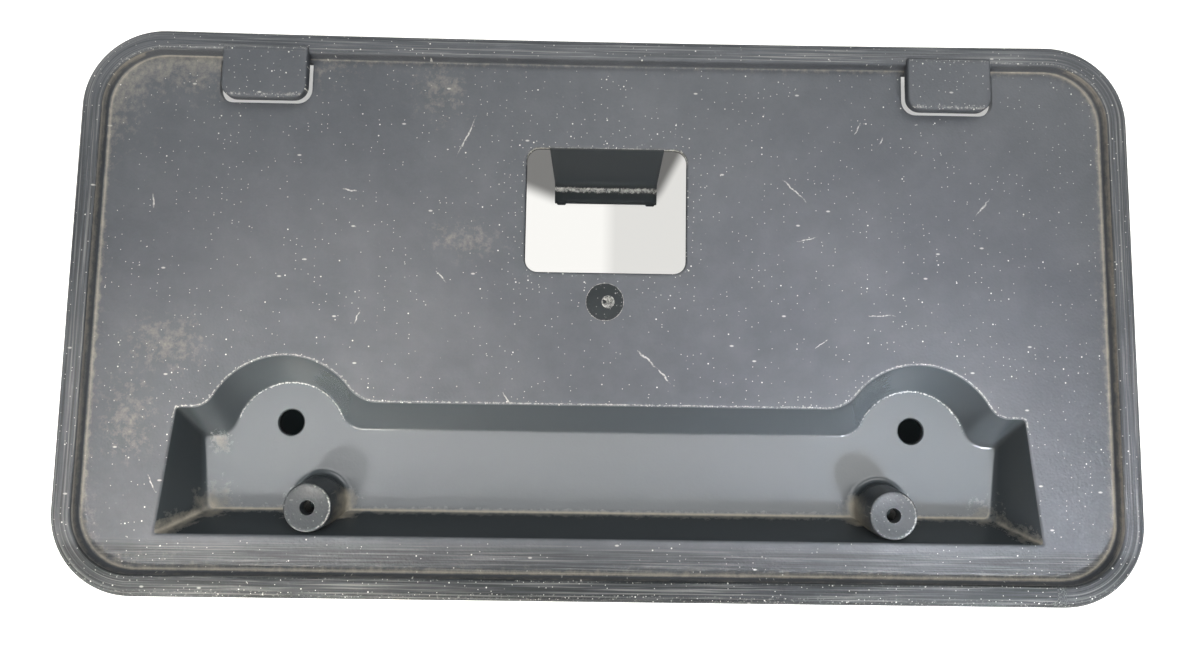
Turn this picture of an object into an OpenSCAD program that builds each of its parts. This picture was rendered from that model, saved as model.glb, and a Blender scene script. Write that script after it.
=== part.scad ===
// Front number plate holder, one injection-moulded piece of grained black polypropylene.
// It stands upright as it is fixed on a bumper: +Z up, X along the width, front towards -Y.
// The origin is half way between the two bumper fixing holes, on the rear mounting face of the recess.

/* [Plate] */
// Distance between the two lower screw holes of the number plate
screw_gap = 177.8; // [170:0.1:184]
// Front-to-back play left for the plate behind the lugs
plate_play = 1.6; // [1.2:0.1:2.4]

/* [Frame] */
// Overall width
frame_w = 328.4; // [323:0.1:337]
// Overall height
frame_h = 173.8; // [171:0.1:181]
// Outer corner radius
corner_r = 25.2; // [20:0.1:28]
// Width of the raised rim, from the outside to its inner edge
rim_w = 6.7; // [6:0.1:7]
// Height of the rim above the field that the plate lies on
rim_h = 3.8; // [3:0.1:4.5]
// Rounding of the rim's outer front edge
rim_round = 2.4; // [1.8:0.1:2.6]
// Depth of the outer skirt behind the rim's face
skirt_d = 11; // [9:0.5:13]
// Wall thickness of the field and the recess
wall = 2.5; // [2.2:0.1:2.8]

/* [Lugs] */
// Width of a lug
lug_w = 26.4; // [22:0.2:30]
// Distance from the middle of the holder to the middle of a lug
lug_x = 107.3; // [100:0.1:114]
// Distance from the top edge down to a lug's tip
lug_drop = 22.2; // [20:0.1:23]
// Thickness of a lug
lug_t = 3.4; // [3:0.1:3.8]
// Rounding of a lug's two free corners
lug_r = 4.4; // [3:0.2:5.4]

/* [Window] */
// Width of the window
window_w = 50.4; // [46:0.2:54]
// Height of the window
window_h = 39.4; // [36:0.2:42]
// Distance from the top edge down to the window
window_drop = 35.3; // [34:0.1:38]
// Rounding of the window's corners
window_r = 4; // [3:0.1:5]

/* [Tongue] */
// Width of the tongue where it leaves the window's top edge
tongue_w = 36.2; // [32:0.2:38]
// How far the tongue reaches behind the field's front face
tongue_reach = 19.5; // [17:0.5:22]
// How far the tongue droops over that reach
tongue_droop = 8.6; // [7:0.2:10]
// Height of the lip at the tongue's end
lip_h = 5.4; // [4.4:0.2:6]

/* [Recess] */
// Depth of the recess below the field
recess_d = 14.5; // [13:0.5:16]
// Height of the recess's lower edge above the bottom edge of the holder
recess_up = 17.9; // [17:0.1:19]
// Half width of the recess at its lower corners
recess_half = 134.7; // [134:0.1:137]
// Radius of the arch over a fixing hole, at the field
arch_r = 25; // [24.4:0.1:25.6]

/* [Holes] */
// Height of the fixing holes above the bottom edge of the holder
hole_up = 50.9; // [50:0.1:52]
// Distance between the two bumper fixing holes
hole_gap = 199.3; // [198:0.1:201]
// Diameter of a fixing hole
hole_d = 8; // [6:0.1:9]
// Height of the plate's screw holes above the bottom edge of the holder
screw_up = 26.2; // [26:0.1:27]
// Diameter of a screw boss at its face
boss_d = 14.6; // [13.6:0.1:15]
// Diameter of the pilot bore in a screw boss
pilot_d = 4.4; // [3.6:0.1:5]

/* [Hidden] */
$fn = 64;
z_low = -hole_up;                        // bottom edge of the holder
z_top = frame_h - hole_up;               // top edge of the holder
y_floor = -wall;                         // front face of the recess's floor
y_field = y_floor - recess_d;            // front face of the field
y_back = y_field + wall;                 // rear face of the field
y_rim = y_field - rim_h;                 // front face of the rim
rim_wall = 1.9;                          // wall of the skirt and of the step
step_lean = 0.4;                         // how far the step's foot stands inside its top
inner_round = 1.0;                       // rounding of the rim's inner front edge
lug_up = 0.8;                            // height of a lug's face above the rim's face, at least
lug_lap = 1.4;                           // how far a lug reaches over the rim's face
slot_in = 0.4;                           // slot beyond a lug's side that faces the middle
slot_out = 2.2;                          // slot beyond a lug's outer side
slot_tip = 0.2;                          // slot beyond a lug's tip
slot_head = 0.3;                         // slot's upper edge from the step's foot
foot_round = 0.8;                        // hollow fillet between the step and the field
tongue_t = 2.2;                          // thickness of the tongue
tongue_taper = 1.3;                      // how much narrower the tongue's end is on each side
lip_t = 2;                               // thickness of the tongue's lip
nub_r = 1.1;                             // radius of the two nubs under the lip
shell_out = 1.7;                         // how far the recess's outside stands round its hollow
arch_n = 18;                             // segments of an arch
fillet_n = 7;                            // segments of a fillet beside an arch
boss_lean = 1.1;                         // how much larger a boss is at its foot, in radius
pilot_l = 10;                            // length of the pilot bore
core_d = 9;                              // bore behind the pilot bore
disc_d = 11.8;                           // gate disc
disc_gap = 9.1;                          // from the window's lower edge down to the disc's centre
skin = 0.25;                             // height of the gate disc above the field
over = 0.6;                              // how far a cutter stands out of what it cuts

window_top = z_top - window_drop;
window_low = window_top - window_h;
y_lug = min(y_field - plate_play - lug_t, y_rim - lug_up);

// Points of an arc round [cx, cy] from angle a0 to a1, ends included
function arc(cx, cy, r, a0, a1, n) =
    [for (i = [0:n]) let (a = a0 + (a1 - a0) * i / n) [cx + r * cos(a), cy + r * sin(a)]];

// Value at t between a (t = 0, at the field) and b (t = 1, at the recess's floor)
function blend(a, b, t) = a + (b - a) * t;

// Half of the recess's outline, from the middle of its upper edge out, down and back to the middle.
// It is a straight, a hollow fillet, the arch over the fixing hole, a second fillet, a short
// straight, and the side. t goes from 0 at the field to 1 at the floor, and o moves it outwards.
function recess_half_outline(t, o) =
    let (
        cx = hole_gap / 2 - blend(2, 0, t),
        cz = blend(-3.9, -5, t),
        r = blend(arch_r, arch_r - 7, t) + o,
        z_mid = blend(7.2, -1.6, t) + o,
        z_end = blend(5, -4.7, t) + o,
        f_mid = blend(12, 7.5, t) - o,
        f_end = blend(7, 7.5, t) - o,
        x_top = blend(recess_half - 4.5, recess_half - 7.7, t) + o,
        x_low = blend(recess_half, recess_half - 10.3, t) + o,
        z_bot = z_low + recess_up + blend(0, 5.5, t) - o,
        x_mid = cx - sqrt(pow(r + f_mid, 2) - pow(z_mid + f_mid - cz, 2)),
        x_end = cx + sqrt(pow(r + f_end, 2) - pow(z_end + f_end - cz, 2)),
        a_mid = atan2(z_mid + f_mid - cz, x_mid - cx),
        a_end = atan2(z_end + f_end - cz, x_end - cx)
    )
    concat(
        arc(x_mid, z_mid + f_mid, f_mid, -90, a_mid - 180, fillet_n),
        [for (i = [1:arch_n - 1]) let (a = a_mid + (a_end - a_mid) * i / arch_n) [cx + r * cos(a), cz + r * sin(a)]],
        arc(x_end, z_end + f_end, f_end, a_end + 180, 270, fillet_n),
        [[x_top, z_end], [x_low, z_bot]]
    );

// The whole outline, mirrored about the middle
function recess_outline(t, o) =
    let (h = recess_half_outline(t, o), n = len(h))
    concat(h, [for (i = [n - 1:-1:0]) [-h[i][0], h[i][1]]]);

// Drafted solid of the recess from a little before the field to a little behind its floor,
// moved outwards by o
module recess_loft(o) {
    n = len(recess_outline(0, o));
    polyhedron(
        points = [for (t = [-0.1, 1.2]) for (p = recess_outline(t, o)) [p[0], y_field + t * recess_d, p[1]]],
        faces = concat(
            [[for (i = [0:n - 1]) i]],
            [[for (i = [n - 1:-1:0]) n + i]],
            [for (i = [0:n - 1]) [i, n + i, n + (i + 1) % n]],
            [for (i = [0:n - 1]) [i, n + (i + 1) % n, (i + 1) % n]]
        ),
        convexity = 6
    );
}

// Stands a flat X-Z shape up from its rear face at y, with thickness t towards the front
module upright(y, t) {
    translate([0, y, 0]) rotate([90, 0, 0]) linear_extrude(t) children();
}

// Rectangle from [x0, z0] to [x1, z1] with rounded corners
module round_box(x0, z0, x1, z1, r) {
    polygon(concat(
        arc(x1 - r, z1 - r, r, 0, 90, 8), arc(x0 + r, z1 - r, r, 90, 180, 8),
        arc(x0 + r, z0 + r, r, 180, 270, 8), arc(x1 - r, z0 + r, r, 270, 360, 8)
    ));
}

// Section of the rim: u inwards from the outside, v backwards from the rim's face.
// A rounded bar with the skirt behind its outer edge, and behind its inner edge the step down to the
// field, with a hollow fillet at its foot.
function rim_section() =
    let (t = rim_wall, e = rim_w + step_lean, f = foot_round)
    concat(
        [[0, skirt_d]],
        arc(rim_round, rim_round, rim_round, 180, 270, 6),
        arc(rim_w - inner_round, inner_round, inner_round, 270, 350, 5),
        arc(e + f, rim_h - f, f, 170, 90, 4),
        [[e + f, rim_h + wall], [rim_w - t, rim_h + wall], [rim_w - t, t], [t, t], [t, skirt_d]]
    );

// A straight stretch of the rim along X, its outside down
module rim_run(length) {
    rotate([0, -90, 0]) linear_extrude(length, center = true) polygon(rim_section());
}

// The quarter turn of the rim at the lower right corner
module rim_corner() {
    rotate([-90, 0, 0]) rotate_extrude(angle = 90, $fn = 96)
        polygon([for (p = rim_section()) [corner_r - p[0], p[1]]]);
}

module rim() {
    translate([0, y_rim, z_low]) rim_run(frame_w - 2 * corner_r);
    translate([0, y_rim, z_top]) mirror([0, 0, 1]) rim_run(frame_w - 2 * corner_r);
    for (m = [0, 1]) mirror([m, 0, 0]) {
        translate([-frame_w / 2, y_rim, (z_low + z_top) / 2]) rotate([0, 90, 0])
            rim_run(frame_h - 2 * corner_r);
        translate([frame_w / 2 - corner_r, y_rim, z_low + corner_r]) rim_corner();
        translate([frame_w / 2 - corner_r, y_rim, z_top - corner_r]) mirror([0, 0, 1]) rim_corner();
    }
}

// The flat field, which ends inside the rim's step
module field() {
    inset = rim_w - rim_wall / 2;
    upright(y_back, wall)
        round_box(-frame_w / 2 + inset, z_low + inset, frame_w / 2 - inset, z_top - inset, corner_r - inset);
}

// That solid between the depths y0 and y1
module recess_solid(y0, y1, o) {
    intersection() {
        recess_loft(o);
        translate([-frame_w / 2, y0, z_low]) cube([frame_w, y1 - y0, frame_h]);
    }
}

// The walls and floor that sink behind the field
module recess_shell() {
    recess_solid(y_field + 1, 0, shell_out);
}

module recess_hollow() {
    recess_solid(y_field - over, y_floor, 0);
}

// Outline of one lug, or of the slot behind it when it is grown by the three margins
module lug_outline(grow_in, grow_out, grow_tip, z_end) {
    x0 = lug_x - lug_w / 2 - grow_in;
    x1 = lug_x + lug_w / 2 + grow_out;
    z0 = z_top - lug_drop - grow_tip;
    r = lug_r + grow_tip / 2;
    polygon(concat([[x0, z_end]], arc(x0 + r, z0 + r, r, 180, 270, 8),
        arc(x1 - r, z0 + r, r, 270, 360, 8), [[x1, z_end]]));
}

module lugs() {
    for (m = [0, 1]) mirror([m, 0, 0])
        upright(y_lug + lug_t, lug_t) lug_outline(0, 0, 0, z_top - rim_w + lug_lap);
}

module slots() {
    for (m = [0, 1]) mirror([m, 0, 0])
        upright(y_back + over, wall + over + rim_h)
            lug_outline(slot_in, slot_out, slot_tip, z_top - rim_w - step_lean - slot_head);
}

module window() {
    upright(y_back + over, wall + 2 * over)
        round_box(-window_w / 2, window_low, window_w / 2, window_top, window_r);
}

// Section of the tongue in the Y-Z plane: an arm that droops from the window's top edge, and a lip
module tongue_section() {
    y_end = y_field + tongue_reach;
    z_end = window_top - tongue_droop;
    slope = atan2(-tongue_droop, tongue_reach);
    y_lift = tongue_t * sin(-slope);
    z_lift = tongue_t * cos(slope);
    root = 2.5;
    polygon(concat(
        [[y_field + 0.3, window_top - 0.1], [y_end - lip_t - 1.2, z_end + 1.3]],
        [[y_end - lip_t - 0.3, z_end + 0.5], [y_end - lip_t, z_end - 0.6]],
        arc(y_end - lip_t / 2, z_end - lip_h + lip_t / 2, lip_t / 2, 180, 360, 6),
        [[y_end, z_end + 0.5], [y_end - 0.9, z_end + z_lift]],
        [[y_back + root + y_lift, window_top + z_lift + (y_back + root - y_field) * tan(slope)]],
        [[y_back, window_top + root + 1.6], [y_field + 0.3, window_top + root + 1.6]]
    ));
}

module tongue() {
    y_end = y_field + tongue_reach;
    intersection() {
        rotate([90, 0, 90]) linear_extrude(tongue_w, center = true) tongue_section();
        translate([0, 0, window_low]) linear_extrude(window_h + 20)
            polygon([[-tongue_w / 2, y_field], [-tongue_w / 2 + tongue_taper, y_end + 1],
                [tongue_w / 2 - tongue_taper, y_end + 1], [tongue_w / 2, y_field]]);
    }
    for (s = [-1, 1])
        translate([s * (tongue_w / 2 - tongue_taper - 2), y_end - lip_t / 2, window_top - tongue_droop - lip_h + 0.6])
            rotate([0, 90, 0]) cylinder(h = 3, r = nub_r, center = true, $fn = 24);
}

// Smooth disc at the moulding gate, with the round gate mark on it
module gate_disc() {
    z = window_low - disc_gap;
    translate([0, y_field, z]) rotate([90, 0, 0]) {
        translate([0, 0, -1]) cylinder(h = 1 + skin, r = disc_d / 2);
        translate([1, 0, -1]) cylinder(h = 1 + 2 * skin, r = 2);
    }
}

// Posts that the plate's lower screws go into
module bosses() {
    for (s = [-1, 1]) translate([s * screw_gap / 2, y_floor / 2, z_low + screw_up])
        rotate([90, 0, 0])
            cylinder(h = recess_d - y_floor / 2, r1 = boss_d / 2 + boss_lean, r2 = boss_d / 2);
}

module boss_bores() {
    for (s = [-1, 1]) translate([s * screw_gap / 2, 0, z_low + screw_up]) {
        translate([0, y_field + pilot_l, 0]) rotate([90, 0, 0]) cylinder(h = pilot_l + over, r = pilot_d / 2);
        translate([0, over, 0]) rotate([90, 0, 0]) cylinder(h = over - y_field - pilot_l, r = core_d / 2);
    }
}

module fixing_holes() {
    for (s = [-1, 1]) translate([s * hole_gap / 2, over, 0])
        rotate([90, 0, 0]) cylinder(h = wall + 2 * over, r = hole_d / 2);
}

module plate_holder() {
    color("#3f4346") difference() {
        union() {
            difference() {
                union() {
                    rim();
                    field();
                    recess_shell();
                }
                recess_hollow();
                window();
                slots();
            }
            bosses();
            lugs();
            tongue();
            gate_disc();
        }
        boss_bores();
        fixing_holes();
    }
}

plate_holder();
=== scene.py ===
"""A moulded number plate holder: its panel, lugs and tongue as worked-out surfaces, its worn grained
plastic, and the pale stage it is shown on. Sizes are in metres in the settings and in millimetres in
the shape functions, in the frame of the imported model: X across, Y backwards, Z up."""

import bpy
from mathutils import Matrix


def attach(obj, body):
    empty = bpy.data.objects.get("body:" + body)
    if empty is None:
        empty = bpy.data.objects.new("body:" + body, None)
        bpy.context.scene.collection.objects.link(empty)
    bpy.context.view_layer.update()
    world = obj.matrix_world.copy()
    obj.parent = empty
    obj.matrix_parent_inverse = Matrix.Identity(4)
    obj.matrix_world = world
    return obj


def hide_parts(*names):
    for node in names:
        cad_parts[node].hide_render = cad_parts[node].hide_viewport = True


bl_info = {
    "name": "Number Plate Holder",
    "version": (1, 0, 0),
    "blender": (4, 5, 0),
    "location": "3D View > Sidebar > Plate Holder",
    "description": "Builds a moulded number plate holder with its worn plastic and a pale stage",
    "category": "Add Mesh",
}

import math
from types import SimpleNamespace

import bpy
import numpy as np
from bpy.props import FloatProperty, FloatVectorProperty, PointerProperty
from bpy.types import Operator, Panel, PropertyGroup
from mathutils import Matrix, Vector
from mathutils.geometry import delaunay_2d_cdt

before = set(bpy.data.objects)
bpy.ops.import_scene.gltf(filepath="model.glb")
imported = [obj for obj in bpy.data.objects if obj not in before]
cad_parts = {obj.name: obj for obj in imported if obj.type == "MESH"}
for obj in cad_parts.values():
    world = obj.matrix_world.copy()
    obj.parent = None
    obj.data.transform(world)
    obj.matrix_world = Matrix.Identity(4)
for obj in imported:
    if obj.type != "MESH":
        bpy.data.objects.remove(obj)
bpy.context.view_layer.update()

MM = 0.001
NODE = "plate_holder"
SHARP_ANGLE = 38.0


def srgb(code, alpha=True):
    """Linear colour of an sRGB hex value: each channel c is c/12.92, or ((c + 0.055)/1.055)^2.4."""
    channels = [int(code[i:i + 2], 16) / 255 for i in (1, 3, 5)]
    linear = [c / 12.92 if c <= 0.04045 else ((c + 0.055) / 1.055) ** 2.4 for c in channels]
    return (*linear, 1.0) if alpha else tuple(linear)


def length(name, description, millimetres):
    """A size setting, kept in metres."""
    return FloatProperty(
        name=name, description=description, default=millimetres * MM, min=0.0, precision=4,
        unit="LENGTH", subtype="DISTANCE",
    )


def colour(name, description, code):
    """A colour setting from an sRGB hex value."""
    return FloatVectorProperty(
        name=name, description=description, default=srgb(code, alpha=False), size=3, min=0.0,
        max=1.0, subtype="COLOR",
    )


class HolderSizes(PropertyGroup):
    """Sizes of the holder, the same as in the part's source."""

    frame_w: length("Width", "Outside width of the holder", 328.4)
    frame_h: length("Height", "Outside height of the holder", 173.8)
    corner_r: length("Corner radius", "Radius of the holder's outside corners", 25.2)
    rim_w: length("Rim width", "Width of the raised rim", 6.7)
    rim_h: length("Rim height", "Height of the rim above the field", 3.8)
    rim_round: length("Rim rounding", "Rounding of the rim's outer front edge", 2.4)
    skirt_d: length("Skirt depth", "Depth of the skirt behind the rim's face", 11)
    wall: length("Wall", "Wall of the panel and of the recess's floor", 2.5)
    lug_w: length("Lug width", "Width of a hook lug", 26.4)
    lug_x: length("Lug offset", "From the middle to a lug's middle", 107.3)
    lug_drop: length("Lug drop", "From the top edge down to a lug's tip", 22.2)
    lug_t: length("Lug thickness", "Thickness of a hook lug", 3.4)
    lug_r: length("Lug corner", "Corner radius of a lug's tip", 4.4)
    plate_play: length("Plate gap", "Gap for the plate between a lug and the field", 1.6)
    window_w: length("Window width", "Width of the window", 50.4)
    window_h: length("Window height", "Height of the window", 39.4)
    window_drop: length("Window drop", "From the top edge down to the window", 35.3)
    window_r: length("Window corner", "Corner radius of the window", 4)
    tongue_w: length("Tongue width", "Width of the tongue at the window's top edge", 36.2)
    tongue_reach: length("Tongue reach", "How far the tongue reaches behind the field", 19.5)
    tongue_droop: length("Tongue droop", "How far the tongue drops over its length", 8.6)
    lip_h: length("Lip height", "Height of the lip at the tongue's end", 5.4)
    recess_d: length("Recess depth", "Depth of the recess below the field", 14.5)
    recess_up: length("Recess edge", "Lower edge of the recess above the bottom edge", 17.9)
    recess_half: length("Recess half width", "Half width at the recess's lower corners", 134.7)
    arch_r: length("Arch radius", "Radius of the arch over a fixing hole", 25)
    hole_up: length("Fixing height", "Fixing holes above the bottom edge", 50.9)
    hole_gap: length("Fixing spacing", "Between the two bumper fixing holes", 199.3)
    hole_d: length("Fixing hole", "Diameter of a fixing hole", 8)
    screw_gap: length("Screw spacing", "Between the two plate screws", 177.8)
    screw_up: length("Screw height", "Plate screws above the bottom edge", 26.2)
    boss_d: length("Boss diameter", "Diameter of a screw boss at its face", 14.6)
    pilot_d: length("Pilot bore", "Diameter of the pilot bore in a boss", 4.4)
    disc_d: length("Gate disc", "Diameter of the smooth disc at the moulding gate", 11.8)


class HolderColours(PropertyGroup):
    """Colours of the plastic and of what has settled on it."""

    plastic: colour("Plastic", "The grained plastic of the field and rim", "#363a3f")
    polished: colour("Polished plastic", "The smoother plastic in the recess", "#3b4043")
    # Also the colour of painted shade: the lower rim, the recess's walls, the bosses, the gate disc, the
    # window's wall, the tongue and the bores
    sheltered_and_shade: colour("Sheltered", "Plastic that weather has not reached", "#1e2122")
    haze: colour("Haze", "Pale worn haze over the field", "#626467")
    dust: colour("Dust", "Dust in the corners", "#8f897c")
    # Also the colour of the painted glint along the tongue's lip
    scuff: colour("Scuff", "Scuffed edges, specks and scratches", "#c2c1ba")
    stage: colour("Stage", "Floor and backdrop", "#d4d4d2")


def plan(context):
    """Every size in millimetres, and the levels that follow from them."""
    sizes = context.scene.holder_sizes
    s = SimpleNamespace(**{name: getattr(sizes, name) / MM for name in HolderSizes.__annotations__})
    s.z_low = -s.hole_up
    s.z_top = s.frame_h - s.hole_up
    s.y_floor = -s.wall
    s.y_field = s.y_floor - s.recess_d
    s.y_back = s.y_field + s.wall
    s.y_rim = s.y_field - s.rim_h
    s.y_lug = min(s.y_field - s.plate_play - s.lug_t, s.y_rim - 0.8)
    s.window_top = s.z_top - s.window_drop
    s.window_low = s.window_top - s.window_h
    s.rim_wall = 1.9
    s.step_foot = s.rim_w + 0.4
    s.foot_round = 0.8
    s.shell_out = 1.7
    s.edge_round = 0.7
    s.floor_round = 0.55
    s.disc_z = s.window_low - 9.1
    return s


# Curves and loops, all in millimetres. A loop is closed and runs counter-clockwise seen from the front.


def arc(cx, cz, r, a0, a1, n):
    """n + 1 points of a circle round (cx, cz) from angle a0 to a1 in degrees."""
    a = np.radians(np.linspace(a0, a1, n + 1))
    return np.stack([cx + r * np.cos(a), cz + r * np.sin(a)], 1)


def subdivided(loop, counts):
    """The loop with segment i cut into counts[i] equal parts: p_i + k/count (p_i+1 - p_i)."""
    start = np.repeat(np.arange(len(loop)), counts)
    offset = np.repeat(np.cumsum(counts) - counts, counts)
    share = (np.arange(len(start)) - offset) / np.repeat(counts, counts)
    return loop[start] + share[:, None] * (np.roll(loop, -1, 0)[start] - loop[start])


def parts_of(loop, step):
    """How many parts each segment of a loop takes, so that none is longer than step."""
    size = np.linalg.norm(np.roll(loop, -1, 0) - loop, axis=1)
    return np.maximum(1, np.ceil(size / step - 1e-6)).astype(int)


def outward(loop):
    """Unit normals of a counter-clockwise loop, away from its inside, from the chord at each point."""
    chord = np.roll(loop, -1, 0) - np.roll(loop, 1, 0)
    chord = chord / np.linalg.norm(chord, axis=1)[:, None]
    return np.stack([chord[:, 1], -chord[:, 0]], 1)


def rounded_box(x0, z0, x1, z1, r, n=10):
    """Rectangle whose corners are quarter circles of radius r."""
    return np.concatenate([
        arc(x1 - r, z0 + r, r, -90, 0, n),
        arc(x1 - r, z1 - r, r, 0, 90, n),
        arc(x0 + r, z1 - r, r, 90, 180, n),
        arc(x0 + r, z0 + r, r, 180, 270, n),
    ])


def box_distance(x, z, x0, z0, x1, z1, r):
    """Signed distance to a rounded rectangle, negative inside."""
    qx = np.abs(x - (x0 + x1) / 2) - (x1 - x0) / 2 + r
    qz = np.abs(z - (z0 + z1) / 2) - (z1 - z0) / 2 + r
    return np.hypot(np.maximum(qx, 0), np.maximum(qz, 0)) + np.minimum(np.maximum(qx, qz), 0) - r


def inside(loop, points):
    """True for each point that a ray along +X leaves the loop from an odd number of times."""
    x, z = points[:, 0, None], points[:, 1, None]
    a, b = loop[None], np.roll(loop, -1, 0)[None]
    spans = (a[..., 1] > z) != (b[..., 1] > z)
    slope = (b[..., 0] - a[..., 0]) / np.where(b[..., 1] == a[..., 1], 1e-9, b[..., 1] - a[..., 1])
    return (spans & (x < a[..., 0] + slope * (z - a[..., 1]))).sum(1) % 2 == 1


def loop_distance(loop, points):
    """Distance from each point to the nearest segment of a loop."""
    a = loop
    d = np.roll(loop, -1, 0) - a
    size = np.maximum((d * d).sum(1), 1e-12)
    found = []
    for block in np.array_split(points, max(1, len(points) // 4000)):
        v = block[:, None] - a[None]
        t = np.clip((v * d[None]).sum(2) / size, 0, 1)
        found.append(np.linalg.norm(v - t[..., None] * d[None], axis=2).min(1))
    return np.concatenate(found)


def eased(corner, before, after, reach, n=4):
    """A corner rounded by a parabola that starts and ends at reach from it."""
    a = corner + (before - corner) / np.linalg.norm(before - corner) * reach
    b = corner + (after - corner) / np.linalg.norm(after - corner) * reach
    q = np.linspace(0, 1, n + 1)[:, None]
    return (1 - q) ** 2 * a + 2 * q * (1 - q) * corner + q ** 2 * b


def recess_outline(s, t, o=0.0):
    """The recess's outline at depth t, 0 at the field and 1 at the floor, moved outwards by o.
    From the middle it is a straight, a hollow fillet, the arch over the fixing hole, a second fillet,
    a short shoulder and the slanted end, each blended from its size at the field to that at the floor."""
    def blend(a, b):
        return a + (b - a) * t

    cx = s.hole_gap / 2 - blend(2, 0)
    cz = blend(-3.9, -5)
    r = blend(s.arch_r, s.arch_r - 7) + o
    z_mid = blend(7.2, -1.6) + o
    z_end = blend(5, -4.7) + o
    f_mid = blend(12, 7.5) - o
    f_end = blend(7, 7.5) - o
    x_top = blend(s.recess_half - 4.5, s.recess_half - 7.7) + o
    x_low = blend(s.recess_half, s.recess_half - 10.3) + o
    z_bot = s.z_low + s.recess_up + blend(0, 5.5) - o
    x_mid = cx - math.sqrt((r + f_mid) ** 2 - (z_mid + f_mid - cz) ** 2)
    x_end = cx + math.sqrt((r + f_end) ** 2 - (z_end + f_end - cz) ** 2)
    a_mid = math.degrees(math.atan2(z_mid + f_mid - cz, x_mid - cx))
    a_end = math.degrees(math.atan2(z_end + f_end - cz, x_end - cx))
    shoulder = np.array([x_top, z_end])
    low = np.array([x_low, z_bot])
    right = np.concatenate([
        arc(x_mid, z_mid + f_mid, f_mid, -90, a_mid - 180, 10),
        arc(cx, cz, r, a_mid, a_end, 36)[1:-1],
        arc(x_end, z_end + f_end, f_end, a_end + 180, 270, 10),
        eased(shoulder, np.array([x_end, z_end]), low, 1.2 + 0.5 * t),
        eased(low, shoulder, np.array([0, z_bot]), 1.0 + 0.8 * t),
    ])
    return np.concatenate([right, right[::-1] * [-1, 1]])[::-1]


def recess_loop(s, t, o, counts):
    """The recess's outline in even steps, the same number at every depth."""
    return subdivided(recess_outline(s, t, o), counts)


# Surfaces. Each adds points and faces in millimetres to a heap that becomes one mesh.


class Heap:
    """Collects points and faces, welds what coincides, and makes the mesh."""

    def __init__(self):
        self.points = []
        self.quads = []
        self.tris = []
        self.flows = []
        self.count = 0

    def add(self, points, faces, flow):
        """Adds points, faces of three or four corners, and the flow coordinates of the points."""
        if faces.shape[1] == 4:
            self.quads.append(faces + self.count)
        else:
            self.tris.append(faces + self.count)
        self.points.append(points)
        self.flows.append(flow)
        self.count += len(points)

    def strip(self, levels, flip=False):
        """Closed loops joined level by level: quad k, i has the corners (k, i), (k, i+1), (k+1, i+1),
        (k+1, i). The flow runs along the loop and across the levels."""
        levels = np.asarray(levels, float)
        m, n = levels.shape[:2]
        k, i = np.meshgrid(np.arange(m - 1), np.arange(n), indexing="ij")
        j = (i + 1) % n
        quads = np.stack([k * n + i, k * n + j, (k + 1) * n + j, (k + 1) * n + i], -1).reshape(-1, 4)
        steps = np.linalg.norm(np.diff(levels, axis=0), axis=2).mean(1)
        run = np.linalg.norm(np.roll(levels[0], -1, 0) - levels[0], axis=1)
        along = np.broadcast_to(np.cumsum(run) - run, (m, n))
        over = np.broadcast_to(np.concatenate([[0], np.cumsum(steps)])[:, None], (m, n))
        flow = np.stack([along, over], -1).reshape(-1, 2)
        self.add(levels.reshape(-1, 3), quads[:, ::-1] if flip else quads, flow)

    def sheet(self, outer, holes, y, step, flip=False, close=None):
        """Flat face at depth y between an outer loop and its holes, in triangles about step wide:
        a grid of points and the loops, joined so that every loop stays an edge. close holds further
        points, for faces that stay small beside an edge."""
        low, high = outer.min(0), outer.max(0)
        gx, gz = np.meshgrid(np.arange(low[0], high[0], step), np.arange(low[1], high[1], step))
        grid = np.stack([gx.ravel(), gz.ravel()], 1)
        grid[:, 0] += np.where(np.round((grid[:, 1] - low[1]) / step) % 2 == 1, step / 2, 0)
        keep = inside(outer, grid)
        for hole in holes:
            keep &= ~inside(hole, grid)
        grid = grid[keep]
        for loop in [outer, *holes]:
            grid = grid[loop_distance(loop, grid) > 0.45 * step]
        if close is not None:
            close = close[inside(outer, close)]
            for loop in [outer, *holes]:
                close = close[loop_distance(loop, close) > 0.45]
            for hole in holes:
                close = close[~inside(hole, close)]
            grid = np.concatenate([close, grid])
        points, edges = [], []
        for loop in [outer, *holes]:
            first = sum(len(p) for p in points)
            ring = np.arange(len(loop))
            edges.append(np.stack([ring, (ring + 1) % len(loop)], 1) + first)
            points.append(loop)
        points = np.concatenate([*points, grid])
        edges = np.concatenate(edges)
        made = delaunay_2d_cdt([Vector(p) for p in points], edges.tolist(), [], 0, 1e-5)
        flat = np.array([points[source[0]] if source else v[:] for v, source in zip(made[0], made[3])])
        tris = np.array([f for f in made[2] if len(f) == 3])
        middle = flat[tris].mean(1)
        keep = inside(outer, middle)
        for hole in holes:
            keep &= ~inside(hole, middle)
        tris = tris[keep]
        at = np.stack([flat[:, 0], np.full(len(flat), y), flat[:, 1]], 1)
        self.add(at, tris[:, ::-1] if flip else tris, flat)

    def made(self, name, bow=None):
        """One mesh object at the origin, in metres, from everything added. Points within a ten
        thousandth of a millimetre are welded. bow moves the points before that."""
        points = np.concatenate(self.points)
        flow = np.concatenate(self.flows)
        faces = [row for part in (self.quads + self.tris) for row in part.tolist()]
        corner = np.concatenate([part.ravel() for part in (self.quads + self.tris)])
        _, where, back = np.unique(np.round(points, 4), axis=0, return_index=True, return_inverse=True)
        back = back.ravel()
        welded = points[where] if bow is None else bow(points[where])
        sizes = [len(f) for f in faces]
        lists = np.split(back[corner], np.cumsum(sizes)[:-1])
        mesh = bpy.data.meshes.new(name)
        mesh.from_pydata((welded * MM).tolist(), [], [f.tolist() for f in lists])
        layer = mesh.uv_layers.new(name="flow")
        layer.data.foreach_set("uv", (flow[corner] * MM).astype(np.float32).ravel())
        mesh.validate()
        mesh.shade_smooth()
        mesh.set_sharp_from_angle(angle=math.radians(SHARP_ANGLE))
        obj = bpy.data.objects.new(name, mesh)
        bpy.context.scene.collection.objects.link(obj)
        return obj


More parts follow.
